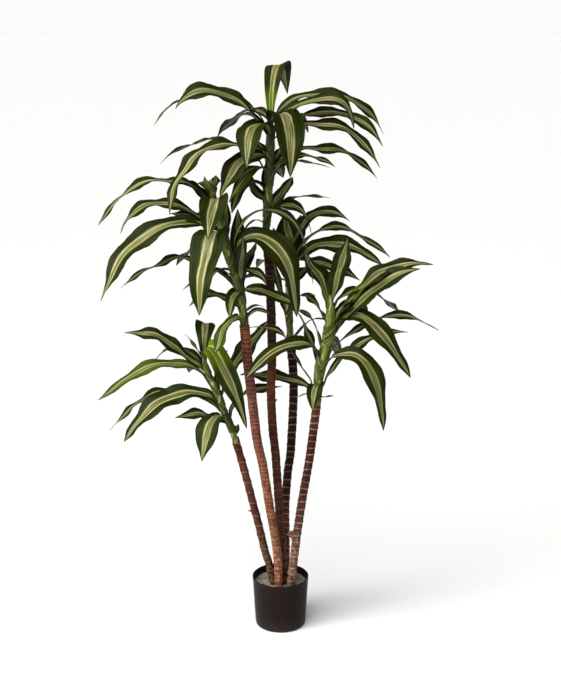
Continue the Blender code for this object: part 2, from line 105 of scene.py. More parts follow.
# One leaf a line: how far up the stem it grows; its tip from there (to the right, to the
# viewer, up); the angles it rises at and falls at, and how high it arches in hundredths of
# its reach; its width, how far its face is turned to the viewer, and its sideways swing.
LEAVES = {
    "a": [
        (225, 112, 100, -152, 78, 75, 52, 56, 20, -30),
        (220, 2, -80, 68, 88, 60, 65, 52, 0, 0),
        (215, -50, 20, 85, 60, -40, 45, 16, 0, 0),
        (195, -215, -20, 98, 34, 6, 43, 46, 30, 0),
        (158, -300, 10, -38, 51, 38, 48, 38, 35, 0),
        (110, -250, 50, -90, 38, 56, 46, 62, 36, 0),
        (85, -305, -20, -60, 42, 55, 45, 38, 22, 0),
        (70, 145, -60, 66, 60, 5, 45, 36, 12, 0),
        (55, -140, 20, 20, 22, 12, 45, 34, 30, 0),
        (65, -64, 80, -88, 40, 86, 52, 70, 0, 2),
        (15, 10, -20, 30, 80, -60, 45, 16, 0, 0),
        (130, 135, -50, 190, 58, -45, 46, 58, 18, 0),
    ],
    "b": [
        (318, -50, -30, 18, 75, 70, 55, 46, 12, 0),
        (310, -12, 90, -75, 50, 85, 50, 66, 0, 25),
        (220, -57, 125, -166, 48, 88, 48, 84, 0, -6),
        (300, -295, -20, -50, 50, 56, 49, 44, 18, 0),
        (245, -250, 10, -10, 30, 70, 50, 46, 28, 0),
        (245, -298, 60, -170, 18, 69, 47, 64, 32, 0),
        (95, -300, -20, -5, 46, 42, 47, 40, 16, 0),
        (130, -80, 20, -40, 45, 60, 45, 34, 10, 0),
        (115, -140, -40, -35, 40, 40, 45, 22, 0, 0),
        (35, -135, 10, 15, 48, 50, 50, 44, 22, 0),
        (80, -25, 60, -47, 40, 85, 50, 44, 0, 0),
        (20, -75, 35, -85, 12, 50, 45, 44, 16, 0),
        (10, -60, 0, -50, 10, 50, 45, 24, 0, 0),
        (15, 66, 20, 18, 34, 18, 45, 36, 16, 0),
        (30, 50, -10, 15, 50, 15, 45, 18, 0, 0),
        (90, 140, 40, -30, 8, 25, 45, 44, 30, 0),
        (110, 125, 10, 5, 30, 25, 45, 22, 10, 0),
        (140, 85, 30, -35, 25, 70, 45, 26, 20, 0),
        (105, 45, -60, 95, 80, -65, 45, 40, 0, 0),
        (95, -4, -60, 190, 85, -75, 45, 42, 0, 0),
        (85, 10, 50, 155, 85, -80, 45, 30, 0, 0),
        (205, 0, -40, 105, 80, -75, 45, 26, 0, 0),
        (160, 90, -10, 90, 75, 50, 50, 20, 0, 0),
        (160, 205, 15, -50, 85, 87, 99, 34, 15, 0),
        (180, 170, 60, -145, 52, 87, 66, 80, 30, 0),
        (328, -18, 34, 50, 85, -75, 45, 30, 0, 0),
        (235, -130, 0, 48, 22, 0, 45, 44, 30, 0),
        (300, -85, -35, 52, 35, 10, 45, 36, 25, 0),
        (330, 6, -40, 42, 85, -75, 45, 34, 0, 0),
    ],
    "c": [
        (280, 42, -110, 68, 88, 67, 108, 58, 0, 0),
        (255, -230, 30, 65, 49, 54, 48, 60, 34, 0),
        (270, -290, -40, 5, 55, 55, 48, 32, 10, 0),
        (275, -95, -20, 15, 68, 42, 58, 40, 15, 0),
        (265, -55, 110, -80, 42, 88, 52, 74, 0, -20),
        (285, 48, 120, -120, 48, 88, 52, 82, 0, 30),
        (285, 280, -20, -30, 57, 63, 45, 46, 30, 0),
        (270, 202, 60, 5, 54, 85, 50, 44, 35, 0),
        (260, 275, 40, -30, 32, 58, 46, 42, 30, 0),
        (245, 268, 60, -65, 33, 60, 46, 42, 30, 0),
        (180, 265, 20, -30, 34, 48, 45, 36, 25, 0),
        (165, 160, 40, 15, 33, 38, 45, 26, 15, 0),
        (155, 150, -30, 15, 33, 25, 45, 20, -5, 0),
        (215, -245, 92, -145, 17, 84, 50, 60, 16, 0),
        (165, -275, -30, 15, 48, 44, 46, 28, -10, 0),
        (195, -122, 60, -88, 22, 72, 45, 62, 26, 0),
        (170, -100, 60, -75, 20, 55, 45, 32, 25, 0),
        (95, -90, 30, -30, 78, 75, 75, 44, 20, 0),
        (75, 0, -50, 115, 85, -75, 45, 32, 0, 0),
        (58, 64, -40, 88, 62, -60, 45, 58, 10, 0),
        (170, -30, -50, 65, 80, -60, 45, 38, 0, 0),
        (165, 35, -50, 65, 80, -60, 45, 38, 0, 0),
        (52, 112, -20, -47, 64, 82, 54, 38, 25, 0),
        (60, 160, -60, 30, 45, 5, 45, 22, 0, 0),
        (85, -75, -25, 75, 40, -30, 45, 46, 20, 0),
    ],
    "d": [
        (240, 150, -20, 95, 86, 35, 57, 42, 28, 0),
        (235, 255, 10, 10, 61, 43, 54, 38, 20, 0),
        (215, 235, 40, 16, 50, 36, 50, 55, 36, 0),
        (235, 175, 60, -40, 5, 25, 45, 42, 30, 0),
        (20, 95, -10, 55, 50, 10, 45, 22, 5, 0),
        (115, 70, 20, 30, 45, 15, 45, 20, 10, 0),
        (20, -45, -50, 210, 75, -75, 45, 28, 0, 0),
        (220, -15, -40, 130, 85, -60, 45, 66, 0, 0),
        (215, -45, 60, 115, 70, -50, 45, 48, 0, 0),
        (195, 30, -60, 150, 85, -70, 45, 54, 0, 0),
        (95, 60, 35, -10, 30, 60, 45, 20, 10, 0),
    ],
    "e": [
        (250, 44, -60, 175, 80, -75, 45, 52, 0, 0),
        (252, -68, -60, 138, 75, -60, 45, 68, 0, 0),
        (225, 255, -10, 140, 45, 8, 46, 46, 32, 0),
        (190, 222, 30, 172, 42, -12, 45, 60, 40, 0),
        (105, 300, -10, 90, 55, 33, 46, 36, 10, 0),
        (210, 200, 60, -120, 48, 60, 47, 56, 34, 0),
        (125, -65, 20, 135, 75, -20, 45, 18, 0, 0),
        (80, -55, -40, 155, 80, -55, 45, 28, 0, 0),
        (50, 225, 10, 145, 50, 2, 45, 34, 25, 0),
        (115, 156, 60, -165, 36, 88, 58, 54, 34, 0),
        (95, -190, 90, 0, 84, 45, 58, 48, 25, 0),
        (40, -180, 25, 170, 50, 10, 45, 26, 10, 0),
        (35, -205, -172, -4, 12, 10, 45, 50, 18, 0),
        (48, -15, 50, -48, 40, 80, 50, 38, 0, 0),
        (15, 42, 10, 12, 35, 10, 45, 24, 0, 0),
        (15, -48, 20, 12, 35, 20, 45, 24, 0, 0),
        (205, -62, -20, 85, 70, -60, 45, 46, 0, 0),
        (200, 62, 15, 85, 60, -30, 45, 40, 20, 0),
    ],
}

# Distance between leaf-scar rings, how far one stands out, how long its step is, all in mm,
# and how pale its line is, 0 to 1.
RINGS = {
    "a": (34, 1.3, 3.2, 0.55),
    "b": (12.5, 0.8, 2.4, 0.3),
    "c": (20, 0.9, 2.4, 0.2),
    "d": (20, 1.1, 2.6, 0.6),
    "e": (18.5, 1.2, 2.8, 0.9),
}

# Bark of each cane: heights, and the colours there. Then the colour of the weathered patches
# near its foot.
BARK = {
    "a": ((140, "4A3A22"), (240, "4C3A28"), (330, "5C3430"), (430, "6E4236"), (505, "6E3A28"),
          (525, "8C5030")),
    "b": ((130, "8A5040"), (200, "985C46"), (290, "8C6044"), (420, "9E664A"), (560, "885040"),
          (660, "8A5A4C"), (740, "5C2C26"), (850, "8A4E32")),
    "c": ((130, "4A2A18"), (330, "58341F"), (560, "4C2C1E"), (640, "603622"), (700, "7A4428"),
          (760, "40261A"), (1060, "3A2418")),
    "d": ((130, "3C2012"), (300, "5A361C"), (380, "34140E"), (760, "220C08")),
    "e": ((130, "7A5C46"), (230, "74524A"), (290, "5E3C38"), (420, "4E2A26"), (560, "482320"),
          (640, "663622")),
}
WEATHERED = {"a": "70503C", "b": "A8805A", "c": "6A4C34", "d": "8A5C3C", "e": "94796A"}

# Oval knots on the bark: cane, height, bearing and half length.
KNOTS = (("b", 172, -100, 5), ("b", 196, -82, 4.5), ("b", 205, -120, 3), ("a", 180, -70, 4),
         ("e", 176, -100, 4), ("e", 214, -70, 4), ("b", 142, -80, 4), ("a", 150, -110, 4))

# Short woody stubs: cane, height, bearing, length, radius and tilt above level.
STUBS = (
    ("e", 271, 196, 20, 6.5, 40), ("e", 281, 176, 15, 4.5, 15), ("e", 262, 214, 17, 4, 62),
    ("e", 254, -50, 9, 4, 30), ("a", 333, 187, 11, 2.6, 25), ("c", 640, 20, 9, 3, 20),
)

# How light each stem and the leaf feet on it are, from dark olive, 0, to yellow-green, 1.
STEM_LIGHT = {"a": 0.65, "b": 0.6, "c": 0.1, "d": 0.4, "e": 1.0}

# Leaves with young, bright green on them: strength, then the stretch of the blade it covers.
YOUNG = {
    "a": {0: (1.0, 0.0, 0.62), 4: (0.3, 0.0, 1.0)},
    "b": {11: (0.25, 0.0, 1.0), 14: (0.25, 0.0, 1.0), 0: (0.5, 0.0, 0.4), 25: (0.8, 0.0, 1.0)},
    "c": {0: (0.85, 0.0, 0.35), 16: (0.3, 0.0, 1.0)},
    "d": {},
    "e": {1: (0.5, 0.0, 0.5), 2: (0.4, 0.0, 0.5)},
}


def linear(code):
    """An sRGB hex colour as the linear red, green and blue that a shader takes."""
    parts = [int(code[i:i + 2], 16) / 255 for i in (0, 2, 4)]
    return tuple(c / 12.92 if c <= 0.04045 else ((c + 0.055) / 1.055) ** 2.4 for c in parts)


def length_property(name, description, default):
    return bpy.props.FloatProperty(
        name=name, description=description, default=default * MM, min=0, precision=4,
        subtype="DISTANCE", unit="LENGTH",
    )


def colour_property(name, description, default):
    return bpy.props.FloatVectorProperty(
        name=name, description=description, default=linear(default), size=3, min=0, max=1,
        subtype="COLOR",
    )


class DracaenaPot(bpy.types.PropertyGroup):
    """Sizes and colours of the pot and its fill."""

    height: length_property("Height", "From the floor to the rim", 140)
    rim_radius: length_property("Rim radius", "Outside radius at the rim", 76)
    foot_radius: length_property("Foot radius", "Outside radius at the foot", 68)
    wall: length_property("Wall", "Thickness of the wall", 2.5)
    floor: length_property("Floor", "Thickness of the pot's floor", 4)
    colour: colour_property("Pot", "Black plastic", "18110F")
    fill_pale: colour_property("Fill, pale", "Dry grains of the fill", "9C9288")
    fill_dark: colour_property("Fill, dark", "Hollows of the fill", "6A625B")


class DracaenaCanes(bpy.types.PropertyGroup):
    """Size of the canes and the colours of their bark."""

    girth: bpy.props.FloatProperty(
        name="Girth", description="How thick the canes are against their usual size",
        default=1.06, min=0.5, max=2,
    )
    scar: colour_property("Leaf scars", "Pale rings of the leaf scars", "B8977C")
    shade: bpy.props.FloatProperty(
        name="Bark shade", description="How light the bark is", default=0.62, min=0.2, max=2,
    )


class DracaenaLeaves(bpy.types.PropertyGroup):
    """Size of the blades and the colours of the leaves."""

    thickness: length_property("Thickness", "Thickness of a blade", 0.8)
    wave: length_property("Wave", "Height of the long waves of a margin", 5.5)
    wave_length: length_property("Wave length", "Length of one long wave", 90)
    ripple: length_property("Ripple", "Height of the short ripple of a margin", 0.7)
    keel: bpy.props.FloatProperty(
        name="Keel", description="How far a blade folds up from its midrib",
        default=0.22, min=0, max=1,
    )
    margin: colour_property("Margin", "Dark green edge bands", "1C2402")
    centre: colour_property("Centre", "Olive middle band", "585D28")
    streak: colour_property("Streaks", "Pale streaks of the middle band", "919168")
    stripe: colour_property("Stripe", "Cream stripes", "B6A686")
    young: colour_property("Young", "Bright green of young leaves", "52690A")
    stem: colour_property("Stem", "Green stem above the bark", "626C2A")


class DracaenaStage(bpy.types.PropertyGroup):
    """Lens, floor and lights of the studio."""

    lens: bpy.props.FloatProperty(
        name="Lens", description="Focal length", default=62.4, min=20, max=200,
        subtype="DISTANCE_CAMERA", unit="CAMERA",
    )
    floor: colour_property("Floor", "Pale studio floor", "F4F3F1")
    sun: bpy.props.FloatProperty(
        name="Overhead light", description="Strength of the wide light above the viewer",
        default=3.8, min=0,
    )
    side_power: bpy.props.FloatProperty(
        name="Side light", description="Power of the large light at the left", default=60, min=0,
        subtype="POWER", unit="POWER",
    )
    room: bpy.props.FloatProperty(
        name="Room light", description="Strength of the even light from above", default=0.18,
        min=0,
    )
    backdrop: bpy.props.FloatProperty(
        name="Backdrop", description="Strength of the pale band behind the plant", default=0.96,
        min=0,
    )


def add(tree, kind, links, stops=(), **settings):
    """Adds a node. Links give each input a value or the socket that feeds it, stops are a
    ramp's places and its heights or colours there, and settings are the node's own fields."""
    node = tree.nodes.new("ShaderNode" + kind)
    for field, value in settings.items():
        setattr(node, field, value)
    for place, height in stops[2:]:
        node.color_ramp.elements.new(place)
    for i, (place, value) in enumerate(stops):
        colour = value if isinstance(value, tuple) else (value, value, value)
        node.color_ramp.elements[i].position = place
        node.color_ramp.elements[i].color = (*colour, 1)
    for name, value in links.items():
        if isinstance(value, bpy.types.NodeSocket):
            tree.links.new(value, node.inputs[name])
        else:
            node.inputs[name].default_value = value
    return node


def new_material(name):
    """A material with only its shader and output; returns it, its tree and the shader."""
    material = bpy.data.materials.new(name)
    material.use_nodes = True
    tree = material.node_tree
    return material, tree, tree.nodes["Principled BSDF"]


def deselect():
    if bpy.context.object and bpy.context.object.mode != "OBJECT":
        bpy.ops.object.mode_set(mode="OBJECT")
    bpy.ops.object.select_all(action="DESELECT")


def activate(*pieces):
    """Selects these objects alone and makes the first one active."""
    deselect()
    for piece in pieces:
        piece.select_set(True)
    bpy.context.view_layer.objects.active = pieces[0]


def smooth_points(points, steps=6):
    """A polyline along the smooth curve through the points."""
    ends = [points[0], *points, points[-1]]
    line = []
    for before, start, end, after in zip(ends, ends[1:], ends[2:], ends[3:]):
        for step in range(steps):
            t = step / steps
            line.append([
                0.5 * (2 * s + t * (e - b) + t * t * (2 * b - 5 * s + 4 * e - a)
                       + t ** 3 * (3 * s - b - 3 * e + a))
                for b, s, e, a in zip(before, start, end, after)
            ])
    return [*line, list(points[-1])]


def centre_at(line, height):
    """The x and y of a centre line at a height, straight below its first point."""
    if height <= line[0][2]:
        return line[0][0], line[0][1]
    for start, end in zip(line, line[1:]):
        if height <= end[2]:
            t = (height - start[2]) / (end[2] - start[2])
            return start[0] + t * (end[0] - start[0]), start[1] + t * (end[1] - start[1])
    return line[-1][0], line[-1][1]


def ease(value):
    """0 below 0, 1 above 1 and an S-shaped rise between."""
    value = min(1, max(0, value))
    return value * value * (3 - 2 * value)


def finish(piece, materials, node=None, angle=40):
    """Shades a finished mesh, gives it its materials and sets it on the frame."""
    activate(piece)
    bpy.ops.object.shade_smooth_by_angle(angle=math.radians(angle))
    for material in materials:
        piece.data.materials.append(material)
    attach(piece, "root")
    if node:
        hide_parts(node)


def lathe(name, profile, sides):
    """A closed round solid drawn ring by ring, from a disc at its first point of radius and
    height to one at its last."""
    deselect()
    radius, height = profile[0]
    bpy.ops.mesh.primitive_circle_add(
        vertices=sides, radius=radius * MM, fill_type="TRIFAN", location=(0, 0, height * MM))
    piece = bpy.context.object
    piece.name = piece.data.name = name
    bpy.ops.object.transform_apply(location=True, rotation=False, scale=False)
    bpy.ops.object.mode_set(mode="EDIT")
    bpy.ops.mesh.select_mode(type="EDGE")
    bpy.ops.mesh.select_all(action="DESELECT")
    bpy.ops.mesh.select_non_manifold()
    for before, after in zip(profile, profile[1:]):
        rise, scale = (after[1] - before[1]) * MM, after[0] / before[0]
        bpy.ops.mesh.extrude_edges_move(TRANSFORM_OT_translate={"value": (0, 0, rise)})
        bpy.ops.transform.resize(value=(scale, scale, 1), center_override=(0, 0, after[1] * MM))
    bpy.ops.mesh.extrude_edges_move()
    bpy.ops.mesh.merge(type="CENTER")
    bpy.ops.mesh.select_all(action="SELECT")
    bpy.ops.mesh.normals_make_consistent(inside=False)
    bpy.ops.object.mode_set(mode="OBJECT")
    return piece


def tube(name, sides, rows):
    """An upright closed tube of radius 1 and height 1, cut into at least so many rows."""
    deselect()
    bpy.ops.mesh.primitive_cylinder_add(
        vertices=sides, radius=1, depth=1, end_fill_type="TRIFAN", location=(0, 0, 0.5))
    piece = bpy.context.object
    piece.name = piece.data.name = name
    bpy.ops.object.transform_apply(location=True, rotation=False, scale=False)
    cuts = math.ceil(math.sqrt(rows)) - 1
    for _ in range(2):
        bpy.ops.object.mode_set(mode="EDIT")
        bpy.ops.mesh.select_mode(type="EDGE")
        bpy.ops.mesh.select_all(action="DESELECT")
        bpy.ops.object.mode_set(mode="OBJECT")
        places = [v.co for v in piece.data.vertices]
        for edge in piece.data.edges:
            low, high = (places[i] for i in edge.vertices)
            edge.select = abs(high.z - low.z) > 1e-6
        bpy.ops.object.mode_set(mode="EDIT")
        bpy.ops.mesh.subdivide(number_cuts=cuts)
        bpy.ops.object.mode_set(mode="OBJECT")
    return piece


# Pot and fill


def pot_plastic(colour):
    """Black polypropylene, injection moulded: nearly matt, so it shows soft grey side lights,
    a faint upright flow in the skin and a little dust near the foot."""
    material, tree, shader = new_material("moulded_polypropylene")
    place = add(tree, "TexCoord", {}).outputs["Object"]
    flow = add(tree, "Mapping", {"Vector": place, "Scale": (1, 1, 0.06)}).outputs[0]
    streaks = add(tree, "TexNoise", {"Vector": flow, "Scale": 220, "Detail": 3}).outputs["Fac"]
    skin = add(tree, "TexNoise", {"Vector": place, "Scale": 900, "Detail": 2}).outputs["Fac"]
    height = add(tree, "SeparateXYZ", {"Vector": place}).outputs["Z"]
    low = add(tree, "MapRange", {0: height, 1: 0.0, 2: 0.04, 3: 1.0, 4: 0.0}).outputs[0]
    dust = add(tree, "Math", {0: low, 1: streaks}, operation="MULTIPLY").outputs[0]
    share = add(tree, "Math", {0: dust, 1: 0.08}, operation="MULTIPLY").outputs[0]
    tint = add(tree, "Mix", {0: streaks, 6: (*(c * 0.8 for c in colour), 1),
                             7: (*(c * 1.35 for c in colour), 1)}, data_type="RGBA").outputs[2]
    base = add(tree, "Mix", {0: share, 6: tint, 7: (*linear("8C8479"), 1)},
               data_type="RGBA").outputs[2]
    gloss = add(tree, "MapRange", {0: streaks, 3: 0.38, 4: 0.52}).outputs[0]
    bump = add(tree, "Bump", {"Height": skin, "Strength": 0.25, "Distance": 0.0002}).outputs[0]
    tree.links.new(base, shader.inputs["Base Color"])
    tree.links.new(gloss, shader.inputs["Roughness"])
    tree.links.new(bump, shader.inputs["Normal"])
    shader.inputs["Specular IOR Level"].default_value = 0.06
    return material


def pot_profile(sizes):
    """Radius and height, in mm, from the middle of the foot round the rim to the inside."""
    height, rim, foot = (x / MM for x in (sizes.height, sizes.rim_radius, sizes.foot_radius))
    wall, floor = sizes.wall / MM, sizes.floor / MM
    slope = (rim - foot) / height
    profile = [(foot - 8, 0.8), (foot - 6, 0)]
    profile += [(foot - 6 + 6 * math.sin(turn), 6 - 6 * math.cos(turn))
                for turn in (math.radians(x) for x in range(0, 91, 15))][1:]
    profile += [(foot + slope * z, z) for z in range(10, int(height) - 8, 8)]
    lip = height - wall / 2
    profile += [(rim - slope * 6, height - 6), (rim, height - 5), (rim, lip)]
    profile += [(rim - wall / 2 + wall / 2 * math.cos(turn), lip + wall / 2 * math.sin(turn))
                for turn in (math.radians(x) for x in range(30, 180, 30))]
    profile += [(rim - wall, lip), (foot + slope * floor - wall, floor)]
    return profile


class DRACAENA_OT_add_pot(bpy.types.Operator):
    """Adds the black pot with its rounded foot and lip"""

    bl_idname = "dracaena.add_pot"
    bl_label = "Add pot"
    bl_options = {"UNDO"}

    def execute(self, context):
        sizes = context.scene.dracaena_pot
        pot = lathe("pot_shell", pot_profile(sizes), POT_SIDES)
        finish(pot, [pot_plastic(sizes.colour)], "pot")
        return {"FINISHED"}


def fill_grit(pale, dark):
    """Cast grit and resin that holds the canes: dry grains of 3 to 8 mm, grey, quite matt."""
    material, tree, shader = new_material("cast_grit")
    place = add(tree, "TexCoord", {}).outputs["Object"]
    # One cell of the pattern at scale 160 is 6 mm.
    cells = add(tree, "TexVoronoi", {"Vector": place, "Scale": 160}, feature="F1")
    dirt = add(tree, "TexNoise", {"Vector": place, "Scale": 60, "Detail": 5}).outputs["Fac"]
    share = add(tree, "ValToRGB", {"Fac": dirt}, stops=((0.35, 0), (0.62, 1))).outputs[0]
    base = add(tree, "Mix", {0: share, 6: (*dark, 1), 7: (*pale, 1)}, data_type="RGBA").outputs[2]
    tone = add(tree, "MapRange", {0: cells.outputs["Color"], 3: 0.75, 4: 1.1}).outputs[0]
    grains = add(tree, "Mix", {0: 1.0, 6: base, 7: tone}, data_type="RGBA",
                 blend_type="MULTIPLY").outputs[2]
    bump = add(tree, "Bump", {"Height": cells.outputs["Distance"], "Strength": 0.8,
                              "Distance": 0.0015}, invert=True).outputs[0]
    tree.links.new(grains, shader.inputs["Base Color"])
    tree.links.new(bump, shader.inputs["Normal"])
    shader.inputs["Roughness"].default_value = 0.92
    return material


class DRACAENA_OT_add_fill(bpy.types.Operator):
    """Adds the rough grey fill that the canes stand in"""

    bl_idname = "dracaena.add_fill"
    bl_label = "Add fill"
    bl_options = {"UNDO"}

    def execute(self, context):
        sizes = context.scene.dracaena_pot
        wall = sizes.wall / MM + 0.6
        slope = (sizes.rim_radius - sizes.foot_radius) / sizes.height
        edge = sizes.foot_radius / MM + slope * FILL_TOP - wall
        profile = [(sizes.foot_radius / MM - wall - 0.5, sizes.floor / MM + GAP)]
        profile += [(edge - 1, FILL_TOP - 6), (edge - 0.5, FILL_TOP - 1.5)]
        profile += [(edge * share, FILL_TOP) for share in
                    (0.985, *(1 - i / 30 for i in range(1, 30)))]
        fill = lathe("cast_fill", profile, POT_SIDES)
        for vertex in fill.data.vertices:
            if vertex.co.z > (FILL_TOP - 0.5) * MM:
                away = vertex.co.xy.length / MM / edge
                lump = noise.fractal(vertex.co * 55, 0.7, 2.2, 4)
                grit = noise.noise(vertex.co * 260)
                vertex.co.z += (2.2 * lump + 0.9 * grit + 2.5 * away ** 6 - 1.5) * MM
        finish(fill, [fill_grit(sizes.fill_pale, sizes.fill_dark)], "fill", 80)
        return {"FINISHED"}


# Canes


def bark(key, scar, shade):
    """Dry cane bark, as grown: satin corky skin, darker and redder in turn up the cane, with
    fine upright fibres, stains, paler weathered patches near the foot and a pale broken line
    at each leaf scar; painted shade darkens the bark just under each ring's step."""
    material, tree, shader = new_material("dracaena_bark_" + key)
    place = add(tree, "TexCoord", {}).outputs["Object"]
    upright = add(tree, "Mapping", {"Vector": place, "Scale": (1, 1, 0.12)}).outputs[0]
    # Fibres are about 3 mm apart, stains about 25 mm long and patches about 8 mm wide.
    fibres = add(tree, "TexNoise", {"Vector": upright, "Scale": 320, "Detail": 4}).outputs["Fac"]
    stains = add(tree, "TexNoise", {"Vector": place, "Scale": 40, "Detail": 3}).outputs["Fac"]
    patches = add(tree, "TexNoise", {"Vector": place, "Scale": 120, "Detail": 5}).outputs["Fac"]
    specks = add(tree, "TexNoise", {"Vector": place, "Scale": 420, "Detail": 2}).outputs["Fac"]
    ring = add(tree, "Attribute", {}, attribute_name="scar").outputs["Fac"]
    painted_ring_shade = add(tree, "Attribute", {}, attribute_name="painted_ring_shade").outputs["Fac"]
    height = add(tree, "SeparateXYZ", {"Vector": place}).outputs["Z"]
    blurred = add(tree, "MapRange", {0: stains, 3: -0.03, 4: 0.03}).outputs[0]
    level = add(tree, "Math", {0: height, 1: blurred}, operation="ADD").outputs[0]
    share = add(tree, "Math", {0: level, 1: BARK_SPAN * MM}, operation="DIVIDE").outputs[0]
    skin = add(tree, "ValToRGB", {"Fac": share}, stops=tuple(
        (z / BARK_SPAN, tuple(c * shade for c in linear(code))) for z, code in BARK[key]))
    streak = add(tree, "ValToRGB", {"Fac": fibres}, stops=(
        (0.3, (0.6, 0.5, 0.45)), (0.7, 1.35))).outputs[0]
    fibred = add(tree, "Mix", {0: 1.0, 6: skin.outputs[0], 7: streak}, data_type="RGBA",
                 blend_type="MULTIPLY").outputs[2]
    stained = add(tree, "ValToRGB", {"Fac": stains}, stops=((0.35, (0.6, 0.52, 0.47)), (0.65, 1.1))).outputs[0]
    shaded = add(tree, "Mix", {0: 1.0, 6: fibred, 7: stained}, data_type="RGBA",
                 blend_type="MULTIPLY").outputs[2]
    low = add(tree, "MapRange", {0: level, 1: 0.33, 2: 0.2, 3: 0.0, 4: 1.0}).outputs[0]
    torn = add(tree, "ValToRGB", {"Fac": patches}, stops=((0.48, 0), (0.6, 1))).outputs[0]
    worn = add(tree, "Math", {0: low, 1: torn}, operation="MULTIPLY").outputs[0]
    old = tuple(c * shade * 1.2 for c in linear(WEATHERED[key]))
    weathered = add(tree, "Mix", {0: worn, 6: shaded, 7: (*old, 1)}, data_type="RGBA").outputs[2]
    # Painted shade: the bark turns near black (140A07) just under each ring's step.
    dark = add(tree, "Math", {0: painted_ring_shade, 1: 0.65}, operation="MULTIPLY").outputs[0]
    ring_shaded_bark = add(tree, "Mix", {0: dark, 6: weathered, 7: (*linear("140A07"), 1)},
                  data_type="RGBA").outputs[2]
    broken = add(tree, "MapRange", {0: specks, 1: 0.35, 2: 0.6, 3: 0.3, 4: 1.0}).outputs[0]
    uneven = add(tree, "MapRange", {0: stains, 1: 0.35, 2: 0.6, 3: 0.35, 4: 1.0}).outputs[0]
    line = add(tree, "Math", {0: ring, 1: broken}, operation="MULTIPLY").outputs[0]
    pale = add(tree, "Math", {0: line, 1: uneven}, operation="MULTIPLY").outputs[0]
    base = add(tree, "Mix", {0: pale, 6: ring_shaded_bark, 7: (*scar, 1)}, data_type="RGBA").outputs[2]
    rough = add(tree, "MapRange", {0: fibres, 3: 0.5, 4: 0.75}).outputs[0]
    bump = add(tree, "Bump", {"Height": fibres, "Strength": 0.6, "Distance": 0.0008}).outputs[0]
    tree.links.new(base, shader.inputs["Base Color"])
    tree.links.new(rough, shader.inputs["Roughness"])
    tree.links.new(bump, shader.inputs["Normal"])
    shader.inputs["Specular IOR Level"].default_value = 0.08
    return material


def ring_heights(key, foot, top):
    """Height, tilt and tilt direction of each leaf scar, lowest first."""
    pitch = RINGS[key][0]
    draw = random.Random("ring" + key)
    rings, height = [], top - pitch / 2
    while height > foot:
        rings.append((height, draw.uniform(0.5, 2.2), draw.uniform(0, 2 * math.pi)))
        height -= pitch * draw.uniform(0.82, 1.18)
    return rings[::-1]


def ring_relief(key, rings, height, angle):
    """How far the bark stands out, in mm, and how much of a scar's pale line and of the painted
    shade just under the ring's step is there, 0 to 1."""
    pitch, rise, step, paleness = RINGS[key]
    relief = scar = painted_ring_shade = 0
    low, high = 0, len(rings)
    while high - low > 1:
        middle = (low + high) // 2
        low, high = (middle, high) if rings[middle][0] < height else (low, middle)
    for ring, tilt, way in rings[max(0, low - 1):low + 3]:
        above = height - ring - tilt * math.cos(angle - way)
        if -step < above <= 0:
            relief = max(relief, rise * (1 + above / step))
        elif 0 < above < pitch * 0.6:
            relief = max(relief, rise * (1 - above / (pitch * 0.6)) ** 2)
        scar = max(scar, paleness * math.exp(-((above - 0.1 * step) / (0.45 * step)) ** 2))
        # Painted shade: a band just under the ring's step, where the ridge would cast its shadow.
        painted_ring_shade = max(painted_ring_shade, math.exp(-((above + 1.2 * step) / (0.5 * step)) ** 2))
    return relief, scar, painted_ring_shade


def knot_relief(key, girth, height, angle):
    """How far a knot stands out there, in mm: a low ring round a small hollow."""
    relief = 0
    for cane, middle, bearing, size in KNOTS:
        if cane == key:
            turn = (angle - math.radians(bearing) + math.pi) % (2 * math.pi) - math.pi
            reach = math.hypot(turn * girth / 0.8, height - middle) / size
            relief += 1.6 * math.exp(-reach * reach) - 1.3 * math.exp(-(reach / 0.4) ** 2)
    return relief


def add_stub(name, line, girth, stub):
    """A short dry stub: a cone whose tip leans up, with its foot inside the bark."""
    _, height, bearing, length, radius, tilt = stub
    profile = [(radius * 0.7, -girth), (radius, -0.3 * girth), (radius * 1.1, 0.15 * length),
               (radius * 0.8, 0.45 * length), (radius * 0.55, 0.75 * length), (0.6, length)]
    cone = lathe(name, profile, 12)
    for vertex in cone.data.vertices:
        share = max(0, vertex.co.z / MM / length)
        vertex.co += noise.noise_vector(vertex.co * 160) * 1.2 * MM * min(1, 2 * share)
        vertex.co.x += 0.25 * length * share * share * MM
    x, y = centre_at(line, height)
    turn = Matrix.Rotation(math.radians(bearing), 3, "Z") @ Matrix.Rotation(
        math.radians(90 - tilt), 3, "Y")
    out = Vector((math.cos(math.radians(bearing)), math.sin(math.radians(bearing)), 0))
    foot = Vector((x, y, height)) + out * girth * 0.9
    for vertex in cone.data.vertices:
        vertex.co = turn @ vertex.co + foot * MM
    return cone


def dry_bud():
    """Dry bud scales, as grown: matt, orange-brown, with painted shade making them darker in the folds."""
    material, tree, shader = new_material("dry_bud_scales")
    place = add(tree, "TexCoord", {}).outputs["Object"]
    folds = add(tree, "TexNoise", {"Vector": place, "Scale": 260, "Detail": 3}).outputs["Fac"]
    # Painted shade: the colour follows the same noise as the bump, darkest where the folds sink.
    base = add(tree, "ValToRGB", {"Fac": folds}, stops=(
        (0.35, linear("341A10")), (0.5, linear("5E3624")), (0.66, linear("8A6448"))))
    bump = add(tree, "Bump", {"Height": folds, "Strength": 0.7, "Distance": 0.001}).outputs[0]
    tree.links.new(base.outputs[0], shader.inputs["Base Color"])
    tree.links.new(bump, shader.inputs["Normal"])
    shader.inputs["Roughness"].default_value = 0.8
    return material


